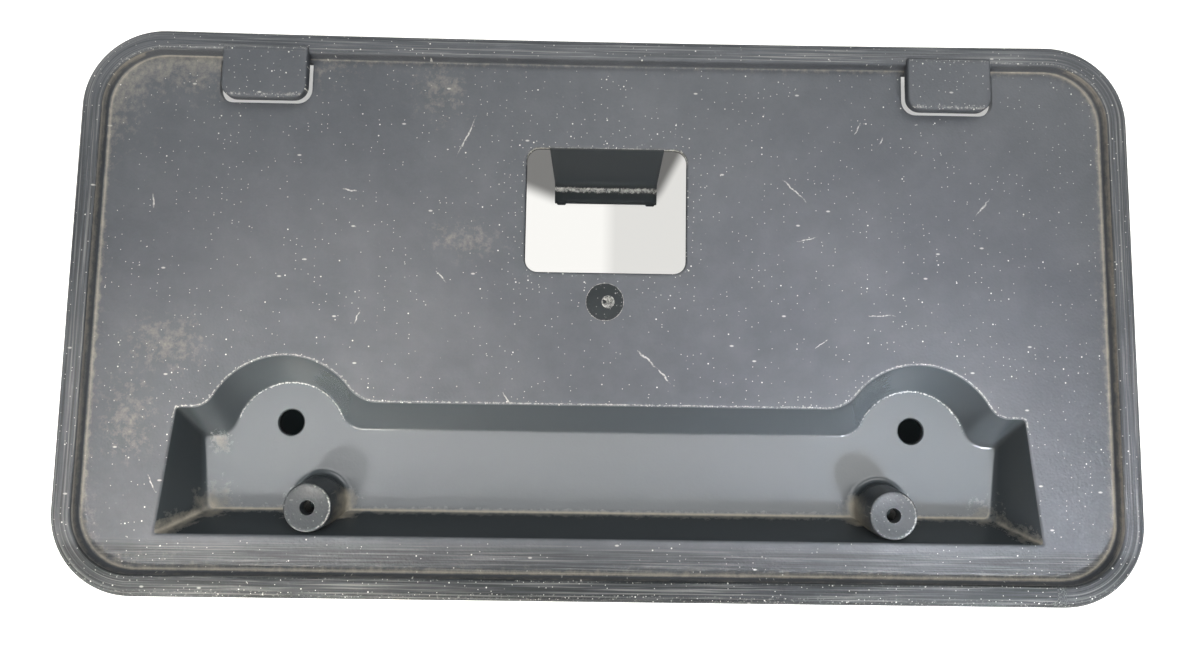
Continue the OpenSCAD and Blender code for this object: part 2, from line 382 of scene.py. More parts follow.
def level(loop, y):
    """A loop of the front view stood at depth y, which may differ from point to point."""
    return np.stack([loop[:, 0], np.broadcast_to(y, len(loop)), loop[:, 1]], 1)


def quarter(n):
    """Sine and cosine of n + 1 even angles from 0 to 90 degrees."""
    a = np.linspace(0, math.pi / 2, n + 1)
    return np.sin(a), np.cos(a)


def rim_section(s):
    """The rim's section from the field's front round to its rear: u inwards from the outside and v
    backwards from the rim's face. A foot fillet, the step, two rounded edges, the skirt and the
    channel behind it."""
    t = s.rim_wall
    f = s.foot_round
    e = s.step_foot
    inner = 1.0
    end = 0.35
    ring_in = np.array([[e + f + 0.1, s.rim_h]])
    foot = arc(e + f, s.rim_h - f, f, 90, 170, 7)
    crest = arc(s.rim_w - inner, inner, inner, -10, -90, 8)
    outer = arc(s.rim_round, s.rim_round, s.rim_round, 270, 180, 10)
    hem_out = arc(end, s.skirt_d - end, end, 180, 90, 3)
    hem_in = arc(t - end, s.skirt_d - end, end, 90, 0, 3)
    channel = np.array([
        [t, t + 1.0], [t + 0.3, t + 0.3], [t + 1.0, t],
        [s.rim_w - t - 1.0, t], [s.rim_w - t - 0.3, t + 0.3], [s.rim_w - t, t + 1.0],
        [s.rim_w - t, s.rim_h + s.wall],
    ])
    middle = np.linspace(crest[-1], outer[0], 4)[1:-1]
    skirt = np.linspace(outer[-1], hem_out[0], 5)[1:-1]
    return np.concatenate([ring_in, foot, crest, middle, outer, skirt, hem_out, hem_in, channel])


def hole_wall(s, heap, loop, front_round, rear_round, rings):
    """The wall of a hole in the panel from its rounded front edge to its rounded rear edge, with flat
    rings round its front. Returns the loops at the field's front and rear faces."""
    normal = outward(loop)
    sine, cosine = quarter(4)
    flat = front_round + np.array(rings)
    out = np.concatenate([flat, front_round * (1 - sine), rear_round * (1 - cosine)])
    depth = np.concatenate([
        np.full(len(flat), s.y_field), s.y_field + front_round * (1 - cosine),
        s.y_back - rear_round * (1 - sine),
    ])
    heap.strip([level(loop + normal * a, y) for a, y in zip(out, depth)])
    return loop + normal * out[0], loop + normal * out[-1]


def recess_wall(s, heap, out, depth, counts, flip=False):
    """The recess's wall from offset to offset of its outline, each at its depth. Returns the first and
    the last loop."""
    shares = (depth - s.y_field) / s.recess_d
    loops = [recess_loop(s, t, o, counts) for t, o in zip(shares, out)]
    heap.strip([level(loop, y) for loop, y in zip(loops, depth)], flip=flip)
    return loops[0], loops[-1]


def lug_loop(s, grow_in, grow_out, grow_tip, z_end, end_r):
    """Outline of the right lug grown by three margins: straight sides, a rounded tip, and an upper
    edge at z_end."""
    x0 = s.lug_x - s.lug_w / 2 - grow_in
    x1 = s.lug_x + s.lug_w / 2 + grow_out
    z0 = s.z_top - s.lug_drop - grow_tip
    r = s.lug_r + grow_tip / 2
    return np.concatenate([
        arc(x0 + r, z0 + r, r, 180, 270, 10), arc(x1 - r, z0 + r, r, 270, 360, 10),
        arc(x1 - end_r, z_end - end_r, end_r, 0, 90, 3),
        arc(x0 + end_r, z_end - end_r, end_r, 90, 180, 3),
    ])


def mirrored(loop):
    """The same loop on the other side of the middle, still counter-clockwise."""
    return (loop * [-1, 1])[::-1]


def ring(cx, cz, r, n=72):
    """A circle as a loop."""
    return arc(cx, cz, r, 0, 360, n)[:-1]


def bowed(s):
    """The slight inward bow of the long upper edge: down by depth in the middle, by a parabola in X,
    whole to 6 mm below the edge and faded out at 16 mm."""
    depth = 1.1
    fade_low, fade = 16, 10

    def move(points):
        x = np.clip(points[:, 0] / (s.frame_w / 2), -1, 1)
        near = np.clip((points[:, 2] - s.z_top + fade_low) / fade, 0, 1)
        moved = points.copy()
        moved[:, 2] -= depth * (1 - x ** 2) * near * near * (3 - 2 * near)
        return moved

    return move


def boss_section(s):
    """Section of a screw boss as radius and depth: the foot's fillet, the slightly conical side, the
    rounded edge, the face with its shallow ring, the pilot bore and the wider bore behind it."""
    r_face = s.boss_d / 2
    lean = 1.1 / (s.recess_d - s.y_floor / 2)
    foot = 2.0
    edge = 0.5
    bore = s.pilot_d / 2
    sine, cosine = quarter(5)
    y_side = s.y_floor - foot
    r_side = r_face + lean * (y_side - s.y_field)
    fillet = np.stack([r_side + foot * (1 - sine), s.y_floor - foot * (1 - cosine)], 1)
    rim = np.stack([r_face - edge * (1 - cosine), s.y_field + edge * (1 - sine)], 1)
    face = np.array([
        [r_face - 1.2, s.y_field], [r_face - 1.4, s.y_field + 0.06], [bore + 1.6, s.y_field + 0.06],
        [bore + 1.4, s.y_field + 0.1], [bore + 0.1, s.y_field + 0.1], [bore, s.y_field + 0.25],
        [bore, s.y_field + 5], [bore, s.y_field + 10], [4.5, s.y_field + 10], [4.5, -0.3],
        [4.8, 0.0],
    ])
    return np.concatenate([fillet, rim, face])


def panel_surface(s):
    """The whole moulded panel as one closed surface: the rim's section carried round the rounded
    rectangle, the field with its window and slots, the drafted recess, its floor and the two bosses."""
    heap = Heap()
    step = 3.0
    x1, z0, z1 = s.frame_w / 2, s.z_low, s.z_top
    outline = rounded_box(-x1, z0, x1, z1, s.corner_r, 20)
    counts = parts_of(outline, step)
    path = subdivided(outline, counts)
    corner = np.stack([
        np.clip(path[:, 0], -x1 + s.corner_r, x1 - s.corner_r),
        np.clip(path[:, 1], z0 + s.corner_r, z1 - s.corner_r),
    ], 1)
    inwards = corner - path
    inwards /= np.linalg.norm(inwards, axis=1)[:, None]
    section = rim_section(s)
    heap.strip([level(path + inwards * u, s.y_rim + v) for u, v in section], flip=True)
    front_outer = path + inwards * section[0, 0]
    rear_outer = path + inwards * section[-1, 0]

    window = rounded_box(-s.window_w / 2, s.window_low, s.window_w / 2, s.window_top, s.window_r, 10)
    window = subdivided(window, parts_of(window, step))
    slot_top = s.z_top - s.step_foot - s.foot_round - 0.6
    slot = lug_loop(s, grow_in=0.4, grow_out=2.2, grow_tip=0.2, z_end=slot_top, end_r=0.5)
    slot = subdivided(slot, parts_of(slot, step))
    holes = [hole_wall(s, heap, window, front_round=0.8, rear_round=0.4, rings=[1.6, 0.6])]
    for loop in (slot, mirrored(slot)):
        holes.append(hole_wall(s, heap, loop, front_round=0.3, rear_round=0.3, rings=[0.1]))

    counts = parts_of(recess_outline(s, 0), step)
    sine, cosine = quarter(5)
    e, f = s.edge_round, s.floor_round
    out = np.concatenate([[e + 1.6, e + 0.6], e * (1 - sine), np.zeros(7), -f * (1 - cosine), [-f - 0.4]])
    depth = np.concatenate([
        [s.y_field, s.y_field], s.y_field + e * (1 - cosine),
        np.linspace(s.y_field + e, s.y_floor - f, 9)[1:-1],
        s.y_floor - f * (1 - sine), [s.y_floor],
    ])
    front_recess, floor_outer = recess_wall(s, heap, out, depth, counts)
    crease = [recess_loop(s, 1.0, out[-1] - gap, counts) for gap in (0.8, 1.8)]
    on_floor = [p[(p[:, 1] < -20) & (np.abs(p[:, 0]) < s.recess_half - 15)] for p in crease]

    rear = 1.0
    out = np.concatenate([[s.shell_out], np.full(4, s.shell_out), s.shell_out - rear * (1 - cosine)])
    depth = np.concatenate([[s.y_back], np.linspace(s.y_back, -rear, 6)[1:-1], -rear * (1 - sine)])
    rear_recess, rear_floor = recess_wall(s, heap, out, depth, counts, flip=True)

    floor_holes, rear_holes = [], []
    profile = boss_section(s)
    bevel = 0.4
    for side in (-1, 1):
        cx, cz = side * s.screw_gap / 2, s.z_low + s.screw_up
        heap.strip([level(ring(cx, cz, r), y) for r, y in profile])
        floor_holes.append(ring(cx, cz, profile[0, 0]))
        on_floor += [ring(cx, cz, profile[0, 0] + gap) for gap in (0.8, 1.8)]
        rear_holes.append(ring(cx, cz, profile[-1, 0]))
        cx, r = side * s.hole_gap / 2, s.hole_d / 2
        wall = [
            (r + bevel, s.y_floor), (r, s.y_floor + bevel), (r, -s.wall / 2), (r, -bevel / 2),
            (r + bevel / 2, 0.0),
        ]
        heap.strip([level(ring(cx, 0, a), y) for a, y in wall])
        floor_holes.append(ring(cx, 0, wall[0][0]))
        rear_holes.append(ring(cx, 0, wall[-1][0]))

    beside = np.concatenate([path + inwards * (section[0, 0] + gap) for gap in (0.5, 1.2)])
    heap.sheet(front_outer, [front_recess] + [h[0] for h in holes], s.y_field, step, close=beside)
    heap.sheet(floor_outer, floor_holes, s.y_floor, step, close=np.concatenate(on_floor))
    heap.sheet(rear_outer, [rear_recess] + [h[1] for h in holes], s.y_back, step * 1.6, flip=True)
    heap.sheet(rear_floor, rear_holes, 0.0, step * 1.6, flip=True)
    return heap


def lug_surface(s):
    """Two slabs with a rounded tip: the outline carried from the rear edge over the sides to the
    front, where the edge is a quarter circle."""
    heap = Heap()
    top = s.z_top - s.rim_w + 1.4
    y_rear = s.y_lug + s.lug_t
    edge = 0.8
    rear = 0.3
    sine, cosine = quarter(5)
    right = lug_loop(s, grow_in=0, grow_out=0, grow_tip=0, z_end=top, end_r=0.6)
    for loop in (right, mirrored(right)):
        loop = subdivided(loop, parts_of(loop, 2.0))
        normal = outward(loop)
        inset = np.concatenate([rear * (1 - sine), edge * (1 - cosine)])
        depth = np.concatenate([y_rear - rear * (1 - cosine), s.y_lug + edge * (1 - sine)])
        loops = [loop - normal * a for a in inset]
        heap.strip([level(p, y) for p, y in zip(loops, depth)])
        heap.sheet(loops[-1], [], s.y_lug, 2.0)
        heap.sheet(loops[0], [], y_rear, 3.0, flip=True)
    return heap


def tongue_section(s):
    """The tongue's section as a loop of (depth, height): a root behind the window's upper edge, an
    arm that droops as it runs back, and a lip with a rounded end."""
    y_end = s.y_field + s.tongue_reach
    z_end = s.window_top - s.tongue_droop
    slope = math.atan2(-s.tongue_droop, s.tongue_reach)
    thick, lip, root = 2.2, 2.0, 2.5
    y_lift, z_lift = -thick * math.sin(slope), thick * math.cos(slope)
    y_root = s.y_back + root + y_lift
    tip = arc(y_end - lip / 2, z_end - s.lip_h + lip / 2, lip / 2, 180, 360, 10)
    crook = eased(
        np.array([y_end - lip - 0.2, z_end + 0.95]), np.array([s.y_field + 0.8, s.window_top - 0.1]),
        np.array([y_end - lip, z_end - 2.0]), 1.4,
    )
    front = np.array([s.y_field + 0.3, s.window_top + root + 1.6])
    nose = eased(
        np.array([s.y_field + 0.3, s.window_top - 0.1]), front,
        np.array([y_end - lip, z_end + 1.3]), 0.6,
    )
    return np.concatenate([
        nose, crook, tip, [[y_end, z_end + 0.5]], [[y_end - 0.9, z_end + z_lift]],
        [[y_root, s.window_top + z_lift + (y_root - y_lift - s.y_field) * math.tan(slope)]],
        [[s.y_back, s.window_top + root + 1.6]], [front],
    ])


def tongue_surface(s):
    """The tongue's section carried across the window, narrower towards its end, its side edges
    rounded by moving the section inwards over a quarter circle; with the two nubs under its lip."""
    heap = Heap()
    loop = tongue_section(s)
    loop = subdivided(loop, parts_of(loop, 1.2))
    normal = outward(loop)
    edge = 0.45
    taper = 1.3
    sine, cosine = quarter(4)
    inset = np.concatenate([edge * (1 - sine), np.zeros(9), edge * (1 - cosine)])
    share = np.concatenate([np.full(5, -1.0), np.linspace(-1, 1, 11)[1:-1], np.full(5, 1.0)])
    pull = np.concatenate([edge * (1 - cosine), np.zeros(9), edge * (1 - cosine[::-1])])
    levels = []
    for a, b, c in zip(inset, share, pull):
        section = loop - normal * a
        half = s.tongue_w / 2 - taper * (section[:, 0] - s.y_field) / (s.tongue_reach + 1)
        x = b * half + np.sign(b) * (c - edge) * (abs(b) == 1)
        levels.append(np.stack([x, section[:, 0], section[:, 1]], 1))
    heap.strip(levels)
    for which, flip in ((0, False), (-1, True)):
        cap = levels[which]
        flat = cap[:, 1:]
        made = delaunay_2d_cdt(
            [Vector(p) for p in flat], [(i, (i + 1) % len(flat)) for i in range(len(flat))], [], 1, 1e-6
        )
        tris = np.array([f for f in made[2] if len(f) == 3])
        tris = tris[inside(flat, flat[tris].mean(1))]
        heap.add(cap, tris[:, ::-1] if flip else tris, flat)
    y_end = s.y_field + s.tongue_reach
    z_nub = s.window_top - s.tongue_droop - s.lip_h + 0.6
    around = 24
    for side in (-1, 1):
        cx = side * (s.tongue_w / 2 - taper - 2)
        stations = [(-1.5, 0.01), (-1.5, 0.8), (-1.2, 1.1), (1.2, 1.1), (1.5, 0.8), (1.5, 0.01)]
        rings = [ring(y_end - 1.0, z_nub, r, around) for _, r in stations]
        heap.strip([
            np.stack([np.full(around, cx + dx), p[:, 0], p[:, 1]], 1)
            for (dx, _), p in zip(stations, rings)
        ])
    return heap


def disc_surface(s):
    """The smooth disc at the moulding gate: a low disc with a rounded edge, and the round gate mark
    with its dimple, each a section turned about its axis."""
    heap = Heap()
    r = s.disc_d / 2
    y = s.y_field
    disc = [(r, y + 0.4), (r, y - 0.12), (r - 0.1, y - 0.22), (r - 0.25, y - 0.25), (0.02, y - 0.25)]
    mark = [
        (2.0, y), (2.0, y - 0.4), (1.85, y - 0.5), (1.1, y - 0.5), (0.9, y - 0.36), (0.6, y - 0.3),
        (0.45, y - 0.48), (0.02, y - 0.52),
    ]
    heap.strip([level(ring(0, s.disc_z, a), b) for a, b in disc])
    heap.strip([level(ring(1.0, s.disc_z, a, 48), b) for a, b in mark])
    return heap


# What the surface carries, from the shape: how smooth it is, how dark (sheltered plastic and
# painted shade), how worn (with a painted glint), how dusty and how streaked.

# Dusty patches on the field: the middle, and the reach across and up, in millimetres
DUST_PATCHES = [(-134, 24, 14, 9), (-144, 2, 9, 14), (-44, 58, 12, 6), (-53, 106, 9, 12)]


def smooth(value, low, high):
    """0 below low and 1 above high, with an even S between them."""
    t = np.clip((value - low) / (high - low), 0, 1)
    return t * t * (3 - 2 * t)


def surface_facts(s, obj):
    """Writes five values to each point, from 0 to 1: polish (moulded smooth); how dark the plastic is,
    as sheltered plastic that stays black and as painted shade where little light falls; how worn an
    edge is, with a painted glint along the tongue's lip; dust (settled dirt); and streak (lines along
    the rim). Each is a falling exponential of the distance to the edge or corner it belongs to."""
    count = len(obj.data.vertices)
    co = np.zeros(count * 3)
    obj.data.vertices.foreach_get("co", co)
    x, y, z = (co.reshape(-1, 3) / MM).T
    facing = np.zeros(count * 3)
    obj.data.vertices.foreach_get("normal", facing)
    facing = facing.reshape(-1, 3)[:, 1] < 0.15
    flat = np.stack([x, z], 1)
    x1 = s.frame_w / 2
    z_bot = s.z_low + s.recess_up
    edge = box_distance(x, z, -x1, s.z_low, x1, s.z_top, s.corner_r)
    counts = parts_of(recess_outline(s, 0), 3.0)
    mouth = recess_loop(s, 0, 0.3, counts)
    to_mouth = loop_distance(mouth, flat)
    to_floor = loop_distance(recess_loop(s, 1, -0.3, counts), flat)
    in_recess = inside(mouth, flat) & (y > s.y_field + 0.3) & (y < s.y_floor + 0.5)
    on_floor = in_recess & (y > s.y_floor - 0.6)
    on_wall = in_recess & ~on_floor
    window_gap = box_distance(
        x, z, -s.window_w / 2, s.window_low, s.window_w / 2, s.window_top, s.window_r
    )
    window = np.abs(window_gap)
    boss = np.min([np.hypot(x - side * s.screw_gap / 2, z - s.z_low - s.screw_up) for side in (-1, 1)], 0)
    hole = np.min([np.hypot(x - side * s.hole_gap / 2, z) for side in (-1, 1)], 0)
    disc = np.hypot(x, z - s.disc_z)
    boss_foot = s.boss_d / 2 + 1.6
    on_disc = (disc < s.disc_d / 2 + 0.05) & (y < s.y_field - 0.05)
    on_face = (boss < s.boss_d / 2 + 0.3) & (y < s.y_field + 0.6)
    on_side = (boss < boss_foot) & (y > s.y_field + 0.6) & (boss > s.boss_d / 2 - 0.4)
    in_bore = ((boss < s.pilot_d / 2 + 3) & (y > s.y_field + 0.3)) | (
        (hole < s.hole_d / 2 + 0.1) & (y > s.y_floor + 0.3)
    )
    on_tongue = np.full(count, obj.name.startswith("bumper_tongue"))
    in_window = (np.abs(window_gap) < 0.5) & (y > s.y_field + 0.25)
    z_lip = s.window_top - s.tongue_droop
    step = np.exp(-((edge + s.rim_w + 0.1) / 0.35) ** 2) * (y < s.y_field - 0.3) * (y > s.y_rim + 0.6)
    front = (y < s.y_field + 1.2) & (y > s.y_field - 0.3)
    on_rim = (edge > -s.rim_w - 0.2) & (y < s.y_field)
    low_wall = smooth(z_bot + 7 - z, 0, 1.5)
    side_wall = smooth(np.abs(x), s.recess_half - 10.5, s.recess_half - 8)

    polish = np.where(in_recess | on_disc | on_tongue | on_side | in_bore, 1.0, 0.0)
    for place, value in ((on_face, 0.7), (on_disc, 0.6)):
        polish = np.where(place, value, polish)
    polish = np.where((y > s.y_back - 0.2) & (polish == 0), 0.4, polish)

    # Sheltered plastic that stays black, and painted shade: darker on the strip below the recess and on the
    # rim's lower part, lighter at the rim's top, dark on the recess's lower and side walls, the boss sides
    # and faces (the left face darker), the gate disc, the window's wall, the tongue (its lip darkest at the
    # bottom) and the bores
    below = smooth(z_bot - 1 - z, 0, 3)
    crown = smooth(z, s.z_top - 30, s.z_top - 8)
    sheltered_and_shade = np.where(front & (edge < -s.rim_w), 0.4 * below, 0.0)
    sheltered_and_shade = np.where(on_rim | (edge > -0.3), 0.24 - 0.24 * crown + 0.4 * below, sheltered_and_shade)
    sheltered_and_shade = np.where(on_rim, np.maximum(sheltered_and_shade - 0.3 * step, 0), sheltered_and_shade)
    for place, value in (
        (on_wall, np.maximum(0.55 * low_wall, 0.5 * side_wall)),
        (on_side, 0.55),
        (on_face, 0.62 - 0.12 * (x > 0)),
        (on_disc, 0.85),
        (in_window, 0.8),
        (on_tongue, 0.7 + 0.3 * smooth(z_lip + 1.5 - z, 0, 1.5)),
        (in_bore, 1.0),
    ):
        sheltered_and_shade = np.where(place, value, sheltered_and_shade)

    upper = smooth(z, -6, 4)
    over = smooth(z, s.window_top - 9, s.window_top - 2)
    top = smooth(z, s.z_top - 24, s.z_top - 14)
    low = smooth(s.z_low + 14 - z, 0, 8)
    crest = np.abs(edge + s.rim_w - 0.5)
    wear_and_glint = np.zeros(count)
    for place, value in (
        (front, 0.56 * np.exp(-to_mouth / 0.3) * upper),
        (front, (0.2 + 0.35 * over) * np.exp(-window / 0.4)),
        (front, 0.2 * np.exp(-window / 5)),
        (on_floor, 0.45 * np.exp(-to_floor / 0.4) * upper),
        (on_rim, (0.08 + 0.3 * top + 0.2 * low) * np.exp(-crest / 0.4)),
        (edge > -3.4, 0.06 + 0.17 * low),
    ):
        wear_and_glint = np.maximum(wear_and_glint, np.where(place, value, 0))
    near_edge = np.exp(-np.abs(boss - s.boss_d / 2 + 0.5) / 0.35)
    outer_side = smooth(x - np.sign(x) * s.screw_gap / 2, 0, 5)
    on_lug = (y < s.y_rim - 0.5) & (y > s.y_lug - 0.1) & (edge < -s.rim_w)
    lip = np.abs(z - s.z_top + s.lug_drop - 0.9)
    for place, value in (
        (on_disc, 0.6 * np.exp(-np.abs(disc - s.disc_d / 2) / 0.2)),
        (on_disc & (y < s.y_field - 0.3) & (disc > 0.5), 0.42),
        (on_face, (0.14 + 0.16 * outer_side) * near_edge + 0.1),
        # A painted glint along the tongue's lip, at the bend that catches the light
        (on_tongue, 0.55 * np.exp(-(((z - z_lip + 0.9) / 0.9) ** 2))),
        (in_bore, 0.0),
        (on_lug, 0.34 * np.exp(-lip / 0.5) + 0.06),
    ):
        wear_and_glint = np.where(place, value, wear_and_glint)

    foot = np.abs(edge + s.step_foot + s.foot_round - 0.1)
    patchy = np.exp(-np.hypot((x + 138) / 55, (z - s.z_top + 14) / 24) ** 2) * np.exp(-foot / 9)
    patchy = patchy + 0.8 * np.exp(-np.hypot((x + 150) / 30, (z - s.z_low - 14) / 26) ** 2 - foot / 3)
    dust = np.where(front, 0.6 * np.exp(-foot / 0.45) + 0.06 * np.exp(-foot / 5), 0.0)
    for cx, cz, wide, tall in DUST_PATCHES:
        patchy = np.maximum(patchy, 0.5 * np.exp(-np.hypot((x - cx) / wide, (z - cz) / tall) ** 2))
    dust = np.maximum(dust, np.where(front & (edge < -s.rim_w), 0.36 * patchy, 0))
    crease = np.exp(-to_floor / 0.35) * smooth(-22 - z, 0, 6)
    left = 0.55 + 0.4 * smooth(-x, -5, 5)
    valley = np.abs((np.abs(x) - s.recess_half + 10) / 10 + (z - z_bot - 5.5) / 5.5)
    valley = np.where(on_wall, 0.8 * left * np.exp(-valley / 0.3) * low_wall * side_wall, 0)
    to_corner = np.hypot(np.abs(x) - s.recess_half + 12, z - z_bot - 7)
    corner = 0.75 * left * np.exp(-to_corner / 3.0)
    tuft = 0.7 * np.exp(-np.hypot(x + s.recess_half - 13, z + 6.5) / 1.6)
    round_boss = 0.7 * np.exp(-np.maximum(boss - boss_foot, 0) / 1.4) * smooth(-18 - z, 0, 6)
    settled = np.max([crease, corner, tuft, round_boss, valley], 0)
    dust = np.maximum(dust, np.where(in_recess & (y > s.y_floor - 5.5), settled, valley))
    dust = np.where(on_rim, np.maximum(dust, (0.5 - 0.3 * below) * step), dust)
    dust = np.where(in_bore | on_tongue | on_face | ~facing, 0.0, dust)

    streak = np.where(on_rim | (edge > -0.3), 1.0, 0.0)
    streak = np.maximum(streak, np.where(front & (edge < -s.rim_w), 0.8 * below, 0))
    facts = (("polish", polish), ("sheltered_and_shade", sheltered_and_shade), ("wear_and_glint", wear_and_glint), ("dust", dust), ("streak", streak))
    for name, value in facts:
        layer = obj.data.attributes.new(name, "FLOAT", "POINT")
        layer.data.foreach_set("value", np.clip(value, 0, 1).astype(np.float32))


# The plastic


def add(tree, kind, inputs=(), operation=None, **settings):
    """Adds one node with its settings. Its inputs come in order or by key: each is a value, a socket
    to link, or a node whose first output is linked."""
    node = tree.nodes.new("ShaderNode" + kind)
    if operation:
        node.operation = operation
    for name, value in settings.items():
        setattr(node, name, value)
    for key, value in inputs.items() if isinstance(inputs, dict) else enumerate(inputs):
        if isinstance(value, bpy.types.Node):
            value = value.outputs[0]
        if isinstance(value, bpy.types.NodeSocket):
            tree.links.new(value, node.inputs[key])
        else:
            node.inputs[key].default_value = value
    return node


# Scratches on the field: where each starts and ends, across and up in millimetres, and its width.
SCRATCHES = [
    (-40.0, 100.5, -49.0, 80.5, 0.55),
    (53.0, 81.0, 65.5, 69.5, 0.7),
    (122.5, 75.5, 115.0, 66.5, 0.6),
    (8.5, 26.0, 17.5, 17.5, 0.9),
    (14.5, 21.0, 22.0, 12.5, 0.6),
    (81.5, 99.0, 77.5, 92.0, 0.6),
    (-84.5, 73.5, -76.0, 72.5, 0.7),
    (-141.5, 72.5, -141.0, 64.5, 0.8),
    (58.0, 58.5, 68.5, 61.0, 0.5),
    (63.5, 24.0, 71.0, 30.0, 0.4),
    (-31.5, 12.0, -27.5, 5.5, 0.6),
    (-75.0, 36.5, -78.0, 30.0, 0.5),
    (79.0, 36.0, 93.0, 36.2, 0.5),
    (88.0, 94.0, 85.5, 89.5, 0.5),
    (-54.0, 49.0, -48.0, 43.5, 0.5),
    (-134.0, -22.0, -138.0, -14.0, 0.5),
]


def grained_polypropylene(context, name):
    """Dark grey polypropylene, injection moulded with a fine leather grain: a low, broad sheen on the
    grain and a clearer one where the tool was smooth. Years of use left a pale haze, worn edges, dust
    in the corners, lint and a few scratches. It also carries painted shade where little light falls,
    and a painted glint along the tongue's lip."""
    colours = context.scene.holder_colours
    material = bpy.data.materials.new(name)
    material.use_nodes = True
    tree = material.node_tree
    tree.nodes.clear()

    # Where a point lies in millimetres, in space and on the face seen from the front, and its facts
    where = add(tree, "TexCoord").outputs["Object"]
    place = add(tree, "VectorMath", {0: where, 3: 1000.0}, "SCALE")
    split = add(tree, "SeparateXYZ", [place])
    face = add(tree, "CombineXYZ", [split.outputs[0], split.outputs[2]])
    polish, wear_and_glint, dust, sheltered_and_shade, streak = (
        add(tree, "Attribute", attribute_name=name).outputs["Fac"]
        for name in ("polish", "wear_and_glint", "dust", "sheltered_and_shade", "streak")
    )
    sheen = add(tree, "MapRange", [sheltered_and_shade, 0.2, 0.95, 0.5, 0.03])
    grained = add(tree, "Math", [1.0, polish], "SUBTRACT")

    # Noises: over the face or in space, the size in millimetres, detail and roughness
    fine, broad, cloudy, chips, clump, wander, rubbed, grit, waves = (
        add(tree, "TexNoise", {"Vector": at, "Scale": 1 / size, "Detail": detail, "Roughness": rough})
        for at, size, detail, rough in (
            (place, 0.7, 3.0, 0.5), (face, 70, 5.0, 0.6), (face, 9, 6.0, 0.72),
            (place, 0.9, 4.0, 0.75), (face, 14, 3.0, 0.6), (face, 3.0, 3.0, 0.5),
            (face, 0.7, 3.0, 0.5), (place, 2.5, 6.0, 0.75), (place, 14, 2.0, 0.5),
        )
    )

    # Grain of the tool: pebbles 0.9 mm apart with a finer roughness in them, drawn a little coarser
    # than the real ones so that they show
    pebble = add(tree, "TexVoronoi", {"Vector": place, "Scale": 1 / 0.9})
    grain = add(tree, "Math", [pebble, fine])

    # Haze in broad patches 70 mm across, with mottling 9 mm across in it
    haze = add(tree, "MapRange", [broad, 0.35, 0.7, 0.0, 0.6])
    patch = add(tree, "MapRange", [cloudy, 0.42, 0.75, 0.0, 0.3])
    haze = add(tree, "Math", [haze, patch], use_clamp=True)
    for share in (grained, 0.42):
        haze = add(tree, "Math", [haze, share], "MULTIPLY")

    # Lines that run along the rim, about 0.5 mm apart and tens of millimetres long, some dark, some pale
    flow = add(tree, "UVMap", uv_map="flow")
    lines = add(tree, "Mapping", {"Vector": flow, "Scale": (22.0, 1900.0, 1.0)})
    lines = add(tree, "TexNoise", {
        "Vector": lines, "Scale": 1.0, "Detail": 3.0, "Roughness": 0.65,
    }, noise_dimensions="2D")
    furrow = add(tree, "MapRange", [lines, 0.5, 0.36, 0.0, 0.5])
    sheltered_and_shade = add(tree, "Math", [furrow, streak, sheltered_and_shade], "MULTIPLY_ADD", use_clamp=True)
    line_mask = add(tree, "MapRange", [lines, 0.52, 0.72, 0.0, 0.2])
    line_mask = add(tree, "Math", [line_mask, streak], "MULTIPLY")

    # Scuffed edges, and the painted glint along the tongue's lip, broken up by a noise 0.9 mm across
    scuffed_and_glint = add(tree, "Math", [wear_and_glint, chips])
    scuffed_and_glint = add(tree, "MapRange", [scuffed_and_glint, 0.78, 1.15, 0.0, 0.75])
    worn = add(tree, "MapRange", [wear_and_glint, 0.01, 0.06, 0.0, 1.0])
    scuffed_and_glint = add(tree, "Math", [scuffed_and_glint, worn], "MULTIPLY")

    # Specks: dots in cells of 2 and 5.5 mm, kept in some cells only and more of them where a clump of
    # 14 mm lies or the edge is worn, and flat flecks of lint in cells of 13 by 6 mm
    marks = 0.0
    for cell, radius, rare, bright in ((2.0, 0.17, 1.3, 0.75), (5.5, 0.27, 1.34, 0.95)):
        dots = add(tree, "TexVoronoi", {"Vector": face, "Scale": 1 / cell}, voronoi_dimensions="2D")
        dot = add(tree, "MapRange", [dots, radius / cell, 0.55 * radius / cell, 0.0, bright])
        kept = add(tree, "SeparateColor", [dots.outputs["Color"]])
        kept = add(tree, "Math", [kept, clump])
        kept = add(tree, "Math", [wear_and_glint, 2.6, kept], "MULTIPLY_ADD")
        kept = add(tree, "MapRange", [kept, rare, rare + 0.12, 0.0, 1.0])
        dot = add(tree, "Math", [dot, kept], "MULTIPLY")
        marks = add(tree, "Math", [marks, dot], "MAXIMUM")
    lint = add(tree, "Mapping", {
        "Vector": face, "Rotation": (0.0, 0.0, math.radians(55)), "Scale": (1 / 13, 1 / 6, 1.0),
    })
    lint = add(tree, "TexVoronoi", {"Vector": lint, "Scale": 1.0}, voronoi_dimensions="2D")
    hair = add(tree, "MapRange", [lint, 0.06, 0.03, 0.0, 0.5])
    picked = add(tree, "SeparateColor", [lint.outputs["Color"]]).outputs[1]
    picked = add(tree, "Math", [picked, 0.9], "GREATER_THAN")
    hair = add(tree, "Math", [hair, picked], "MULTIPLY")
    marks = add(tree, "Math", [marks, hair], "MAXIMUM")
    marks = add(tree, "Math", [marks, grained], "MULTIPLY")

